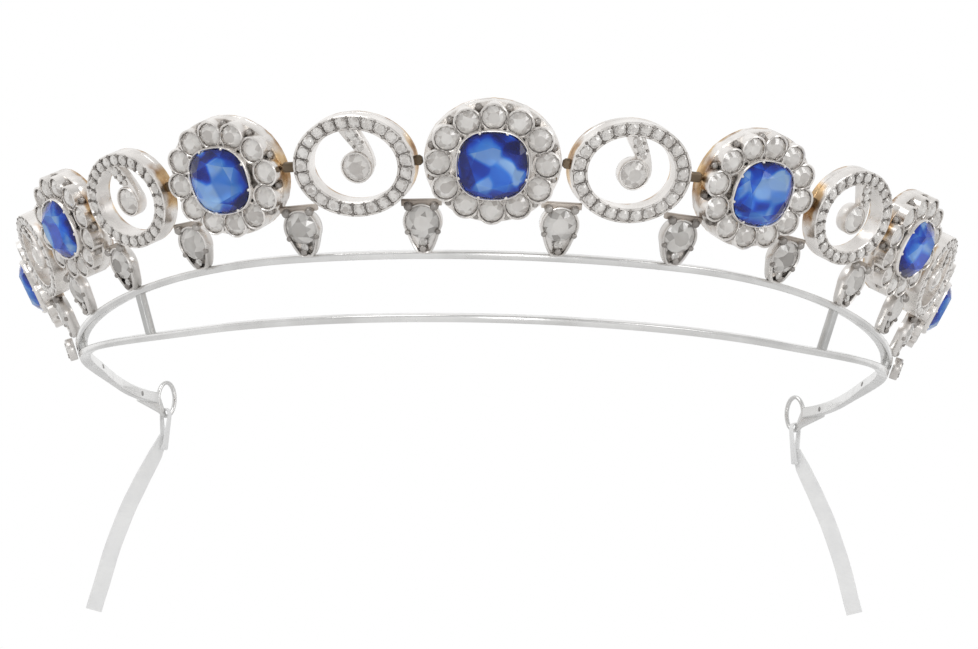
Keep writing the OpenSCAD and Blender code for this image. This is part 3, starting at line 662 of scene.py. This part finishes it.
for i in (0, 2, 4, 6):
    g = SHARES[i]
    w, h, d = unit_w[i], unit_h[i], surround_d * g
    edge = d + 2 * (clear + wall)
    stones, angles = spread(surround_count, w - edge, h - edge)
    gaps, gap_angles = spread(surround_count, w - edge, h - edge, 0.5)
    radial = np.stack([np.cos(gap_angles), np.sin(gap_angles), 0 * gap_angles], -1)
    each = np.ones(surround_count)
    bezel = rounded(sapphire_w * g, sapphire_h * g, sapphire_power, 56)
    claws, claw_angles = spread(sapphire_claws, (sapphire_w + claw_out) * g,
                                (sapphire_h + claw_out) * g, 0.5)
    trim = [ringed(rounded(w - 0.1, h - 0.1, 2, 96), wall_lines), ringed(bezel, raised_collet),
            repeated(ringed(rounded(1, 1, 2, 20), small_collet), stones,
                     (d + 2 * clear) * each, angles),
            repeated(bead(), claws + claw_up * Z, [claw_d * g] * sapphire_claws, claw_angles)]
    beads = [repeated(bead(), gaps + radial * out * g + up * Z, width * g * each, gap_angles)
             for out, up, width in bead_rows]
    # Dark bars where neighbouring collets meet: painted shade for the crevices there
    beads.append(repeated(shade_bar(shade_bar_l, shade_bar_t), gaps + shade_bar_up * Z, g * each, gap_angles))
    gem, gem_faces = cut_stone(sapphire_w * g, sapphire_h * g, sapphire_table,
                               sapphire_crown * g, sapphire_pavilion * g, sapphire_power)
    for name, side in ({"centre": 1} if i == 0 else SIDES).items():
        tag = name if i == 0 else f"{name}_{i // 2}"
        place = jewel_frame(side, unit_s[i])
        metal = setting_metal("cluster metal " + tag, place, gold_deep, -side * place[1][0],
                              w * (gold_out if i else gold_out_centre))
        for material_slot in bpy.data.objects["cluster_" + tag].material_slots:
            material_slot.material = metal
        made("cluster_trim_" + tag, [put(place, part) for part in trim], metal)
        made("cluster_claws_" + tag, [put(place, part) for part in beads], claw_metal_painted_shade)
        blue = made("cut_sapphire_" + tag, [put(place, (gem + sapphire_lift * Z, gem_faces))],
                    sapphire_blue, crisp=0.02)
        faceted(blue, star_share=0.7)
        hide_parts("sapphire_" + tag)
        ring = repeated(brilliant, stones, d * each, rng.uniform(0, 1, surround_count))
        white = made("cut_diamonds_" + tag, [put(place, ring)], diamond, crisp=0.02)
        faceted(white)
        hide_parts("surround_" + tag)

# Scroll links
# Six oval rims set with small diamonds join the clusters. From the top of each a
# tapering scroll curls down round a larger diamond in a collet of its own.
opening_w, opening_h, scroll_back = 12.2, 9.9, 2.2
rim_count, rim_stone_d, rim_stone_up, eye_stone_d = 23, 1.537, 0.2, 3.6
rim_bead_d, rim_bead_up, rim_bead_out, rim_shade_bar_l, rim_shade_bar_t = 0.56, 0.16, 0.36, 1.5, 0.16
# The scroll's greatest width, its thickness and how far back it lies, in mm, and its
# line in shares of the opening's half sides, with the share of the width third
scroll_band, scroll_t, scroll_in = 2.4, 1.3, 0.55
scroll_line = np.array([
    [-0.08, 1.08, 1], [-0.02, 0.96, 0.97], [0.04, 0.84, 0.94], [0.1, 0.72, 0.9], [0.16, 0.6, 0.86],
    [0.22, 0.47, 0.8], [0.29, 0.33, 0.68], [0.35, 0.19, 0.53], [0.39, 0.05, 0.38],
    [0.4, -0.09, 0.24]])
# Three stones, each smaller than the last, run down the scroll's face: their sizes and
# how far down they are in mm, and where the beads between them are
curl_stones, curl_run, bead_run = np.array([1.4, 1.2, 0.95]), [1.15, 2.35, 3.4], [1.75, 2.9]
curl_bead_d, curl_bead_beside = 0.45, np.array([0.62, 0.3, 0])
link_gold_deep, link_gold_out = 1.9, 0.42
# The rim's profile: share of its width inwards, and mm forwards. The front has a
# groove for the stones between two raised edges
rim_profile = np.array([
    (0.04, -scroll_back), (0, 0.05 - scroll_back), (0, -1.5), (0.03, -1.42), (0, -1.34), (0, 0.2),
    (0.05, 0.3), (0.12, 0.3), (0.18, 0.08), (0.82, 0.08), (0.88, 0.3), (0.95, 0.3), (1, 0.2),
    (1, 0.05 - scroll_back), (0.96, -scroll_back)])
# Where the scroll's own stone is in mm, and its collet in shares of its width
eye_at = np.array([[0.4, -0.2, 0]])
eye_collet = [(-0.15, -0.42), (0.03, -0.42), (0.07, -0.32), (0.08, 0.05), (0.055, 0.09),
              (0.02, 0.08), (0, 0)]
joint_w, joint_t, joint_in = 1.4, 0.9, 1.2
joint_metal = white_metal("joint metal", (0.1, 0.075, 0.05), (0.26, 0.2, 0.14), 0.3, 0.5)

for i in (1, 3, 5):
    g = SHARES[i]
    w, h = unit_w[i], unit_h[i]
    open_w, open_h = opening_w * g, opening_h * g
    outer, inner = rounded(w, h, 2, 88), rounded(open_w, open_h, 2, 88)
    flat = outer + (inner - outer) * rim_profile[:, :1, None]
    height = np.broadcast_to(rim_profile[:, 1:, None], flat.shape[:2] + (1,))
    rim = (np.concatenate([flat, height], -1).reshape(-1, 3),
           quads(len(rim_profile), len(outer), closed=True))
    line = through(scroll_line, 41)
    path = line * [open_w / 2, open_h / 2, 0]
    way = unit(np.gradient(path, axis=0))
    narrowing = np.stack([line[:, 2], np.ones(len(line))], -1)[:, None]
    curl = carried(path - scroll_in * Z, np.cross(way, Z), Z,
                   rounded(scroll_band * g, scroll_t, 7, 16) * narrowing)
    cup = repeated(ringed(rounded(1, 1, 2, 28), eye_collet), eye_at, [eye_stone_d * g + 2 * clear],
                   np.zeros(1))
    stones = spread(rim_count, (w + open_w) / 2, (h + open_h) / 2, 0.5)[0]
    gaps, gap_angles = spread(rim_count, (w + open_w) / 2, (h + open_h) / 2)
    radial = np.stack([np.cos(gap_angles), np.sin(gap_angles), 0 * gap_angles], -1)
    wide, tall = (w - open_w) / 2, (h - open_h) / 2
    reach = rim_bead_out * (wide + (tall - wide) * np.sin(gap_angles) ** 2)[:, None]
    each = np.ones(rim_count)
    beads = [repeated(bead(8), gaps + radial * reach * sign + rim_bead_up * Z,
                      rim_bead_d * g * each, gap_angles) for sign in (1, -1)]
    # Dark bars between the rim's stones: painted shade for the crevices there
    beads.append(repeated(shade_bar(rim_shade_bar_l, rim_shade_bar_t), gaps + rim_stone_up * Z, g * each,
                          gap_angles))
    run = way_along(path) / g
    on_curl, between = (
        np.stack([np.interp(at, run, path[:, 0]), np.interp(at, run, path[:, 1]),
                  [z] * len(at)], -1)
        for at, z in ((curl_run, rim_stone_up), (bead_run, rim_bead_up)))
    beside = curl_bead_beside * g
    beads.append(repeated(bead(8), np.concatenate([between + beside, between - beside]),
                          [curl_bead_d * g] * 4, np.zeros(4)))
    for name, side in SIDES.items():
        tag = f"{name}_{i // 2 + 1}"
        place = jewel_frame(side, unit_s[i])
        metal = setting_metal("link metal " + tag, place, link_gold_deep, -side * place[1][0],
                              w * link_gold_out)
        # The joint that closes on the cluster at each side, level with the middle.
        # The first link of a side stands a little nearer to the centre cluster
        joints = []
        for end in (-1, 1):
            gap = link_gap + (link_shift * end * side if i == 1 else 0)
            x = np.array([w / 2 - 0.5, w / 2 + gap - 0.65, w / 2 + gap - 0.3]) * end
            joints.append(carried(x[:, None] * X - joint_in * Z, Y, Z,
                                  rounded(joint_w, joint_t, 3, 14)
                                  * np.array([1, 1, 0.6])[:, None, None]))
        link = made("scroll_link_" + tag, [put(place, part) for part in (rim, curl, cup)], metal)
        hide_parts("scroll_" + tag)
        made("scroll_joints_" + tag, [put(place, part) for part in joints], joint_metal)
        made("scroll_claws_" + tag, [put(place, part) for part in beads], claw_metal_painted_shade)
        sizes = np.concatenate([rim_stone_d * each, [eye_stone_d], curl_stones]) * g
        spots = np.concatenate([stones + rim_stone_up * Z, eye_at, on_curl])
        ring = repeated(brilliant, spots, sizes, rng.uniform(0, 1, len(sizes)))
        white = made("scroll_diamonds_" + tag, [put(place, ring)], diamond, crisp=0.02)
        faceted(white)
        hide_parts("scroll_stones_" + tag)

# Drops
# Seven single diamonds a side stand on the upper rail between the jewels. Each has
# an acorn shaped collet with a bar across its top, and a foot soldered to the rail.
drop_stone_d, drop_below, drop_in, drop_back = 4.5, 8.3, 1.0, 1.25
foot_w, stem_w, stem_t, bar_w, bar_h = 1.4, 1.3, 1.1, 5.4, 0.9
# A small stone fills the acorn's narrow end, below and a little before the large one
neck_stone_d, neck_below, neck_out = 1.15, 2.72, 0.12
# The seventh, smaller one of a side lies against the end of the rail instead
end_stone_d, end_back, end_gap, end_angle = 2.8, 0.95, 0.2, 82.0
# Profiles of the two collets in mm, outward and forward
drop_collet = [(-0.35, -drop_back), (-0.1, -drop_back), (0, 0.15 - drop_back), (0, 0.1),
               (-0.1, 0.3), (-0.22, 0.34), (-0.36, 0.2), (-0.4, -0.1)]
end_collet = [(-0.3, -end_back), (-0.05, -end_back), (0, 0.1 - end_back), (0, 0.15), (-0.1, 0.3),
              (-0.2, 0.32), (-0.32, 0.1)]
drop_metal = white_metal("drop metal", (0.58, 0.555, 0.53), (0.86, 0.835, 0.81), 0.22, 0.4)
bar_metal = white_metal("bar metal", (0.25, 0.21, 0.18), (0.62, 0.56, 0.5), 0.3, 0.45)
greyer_diamond = old_cut("greyer diamond", (0.34, 0.32, 0.295), 0.4)
shallow_stone = cut_stone(1, 1, 0.5, 0.17, 0.27)


def acorn(radius, foot, length, count=48):
    """A drop's outline: a circle whose lower part is drawn down to a narrow foot.
    Heights go over evenly from the circle's to the foot's, and widths later."""
    a = np.arange(count) * 2 * np.pi / count - np.pi / 2
    ring = np.stack([radius * np.cos(a), radius * np.sin(a)], -1)
    down = np.clip((-np.sin(a) - 0.5) / 0.5, 0, 1)[:, None]
    tip = np.stack([np.clip(ring[:, 0], -foot / 2, foot / 2), np.full(count, -length)], -1)
    keep = (1 - eased(down)) ** np.array([0.25, 1.0])
    return ring * keep + tip * (1 - keep)


for name, side in SIDES.items():
    gems, claws, bars = [], [], []
    for j in range(1, 8):
        if j < 7:
            # It stands below the gap beside a cluster, and faces as a jewel there would
            after_cluster = KINDS[j - 1] == "cluster"
            k = j - 1 if after_cluster else j
            s = unit_s[k] + (1 if after_cluster else -1) * (unit_w[k] + link_gap) / 2
            place = jewel_frame(side, s, drop_below, drop_in)
            t = side * np.interp(s, lengths, turns)
            seat = oval(t) + (rail_v(t, 1) + rail_h / 2 + 0.05) * band_axes(t)[0]
            foot = (seat - place[0]) @ place[1].T
            foot_x, foot_y, foot_z = foot
            r = drop_stone_d / 2 + clear + wall
            shape = acorn(r, foot_w, -foot_y)
            stem = np.array([[foot_x, foot_y + 1.2, -0.55],
                             [foot_x, foot_y + 0.5, (foot_z - 0.6) / 2], foot])
            parts = [ringed(shape, drop_collet),
                     ringed(shape, [(-0.3, -1.2), (-0.3, -0.75)], closed=False),
                     carried(stem, X, Z, rounded(stem_w, stem_t, 4, 14))]
            bar_x = np.linspace(-bar_w / 2, bar_w / 2, 7)[:, None]
            bars.append(put(place, carried(bar_x * X + r * Y - bar_h / 2 * Z, Y, Z,
                                           rounded(bar_h, bar_h, 4, 14))))
            # Two large claws under the bar, two small ones lower down and one at the foot
            spots = np.array([[-1.75, r - 0.4, 0.1], [1.75, r - 0.4, 0.1], [-2.05, -1.3, 0.18],
                              [2.05, -1.3, 0.18], [foot_x, foot_y + 0.75, 0]])
            beads = repeated(bead(), spots, [1.3, 1.3, 0.8, 0.8, 1.1], np.zeros(5))
            neck = np.array([[0.3 * foot_x, -neck_below, neck_out]])
            gems.append(put(place, repeated(shallow_stone, neck, [neck_stone_d], np.zeros(1))))
            size = drop_stone_d
        else:
            d = side * end_angle
            lift, out = band_axes(d)
            ahead, back = (oval(a) + rail_v(a, 1) * band_axes(a)[0] for a in (d + 1, d - 1))
            run = unit(ahead - back)
            origin = oval(d) + rail_v(d, 1) * lift + out * (rail_t / 2 + end_gap + end_back)
            place = origin, np.stack([run, np.cross(out, run), out])
            r = end_stone_d / 2 + clear + wall
            shape = rounded(2 * r, 2 * r, 2, 28)
            parts = [ringed(shape, end_collet),
                     ringed(shape * 0.9, [(0, -0.9), (0, -0.7)], closed=False)]
            spots = np.array([[-0.9, 0.9, 0.25], [0.9, 0.9, 0.25], [-0.9, -0.9, 0.25],
                              [0.9, -0.9, 0.25]])
            beads = repeated(bead(8), spots, [0.5] * 4, np.zeros(4))
            size = end_stone_d
        holder = made(f"drop_holder_{name}_{j}", [put(place, part) for part in parts], drop_metal)
        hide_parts(f"drop_{name}_{j}")
        claws.append(put(place, beads))
        gems.append(put(place, repeated(shallow_stone, np.zeros((1, 3)), [size],
                                        rng.uniform(0, 1, 1))))
    made("drop_claws_" + name, claws, claw_metal_painted_shade)
    made("drop_bars_" + name, bars, bar_metal)
    white = made("drop_diamonds_" + name, gems, greyer_diamond, crisp=0.02)
    faceted(white)
    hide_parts("drop_stones_" + name)

# Studio
# A plain pale floor well below the diadem, an even pale room that is a little
# darker behind the camera and to the right, and three large soft lamps.
floor_reach, floor_z = 3.0, -0.16
floor_mesh = bpy.data.meshes.new("floor")
corners = np.array([[-1, -1, 0], [1, -1, 0], [1, 1, 0], [-1, 1, 0]]) * floor_reach + floor_z * Z
floor_mesh.from_pydata(corners.tolist(), [], [(0, 1, 2, 3)])
ground = bpy.data.objects.new("floor", floor_mesh)
bpy.context.collection.objects.link(ground)
pale, nodes, links, shader = new_material("pale floor", Roughness=0.9)
links.new(noise(nodes, links, 4, (0.78, 0.78, 0.78), (0.82, 0.82, 0.82)),
          shader.inputs["Base Color"])
floor_mesh.materials.append(pale)
world = bpy.data.worlds.new("room")
world.use_nodes = True
nodes, links = world.node_tree.nodes, world.node_tree.links
sky = nodes["Background"]
sky.inputs["Strength"].default_value = 1.0
way = nodes.new("ShaderNodeTexCoord")
ahead = nodes.new("ShaderNodeVectorMath")
ahead.operation = "DOT_PRODUCT"
ahead.inputs[1].default_value = (-0.35, 1.0, 0.0)
brightness = nodes.new("ShaderNodeMapRange")
for setting, value in (("From Min", -0.8), ("From Max", 0.6), ("To Min", 0.62), ("To Max", 1.0)):
    brightness.inputs[setting].default_value = value
links.new(way.outputs["Generated"], ahead.inputs[0])
links.new(ahead.outputs["Value"], brightness.inputs["Value"])
links.new(brightness.outputs["Result"], sky.inputs["Color"])
bpy.context.scene.world = world
bpy.context.scene.view_settings.view_transform = "Standard"
# Each lamp's place and side in metres, and its power in watts
for label, at, size, power in (("key lamp", (-0.5, -0.7, 0.9), 0.5, 3.0),
                               ("fill lamp", (0.8, -0.6, 0.3), 0.4, 1.2),
                               ("low lamp", (0.1, -0.8, -0.1), 0.2, 0.4)):
    lamp = bpy.data.lights.new(label, "AREA")
    lamp.size, lamp.energy = size, power
    lit = bpy.data.objects.new(label, lamp)
    away = unit(np.array(at))
    level = unit(np.cross(Z, away))
    turn = np.eye(4)
    turn[:3] = np.stack([level, np.cross(away, level), away, at], axis=1)
    lit.matrix_world = Matrix(turn.tolist())
    bpy.context.collection.objects.link(lit)
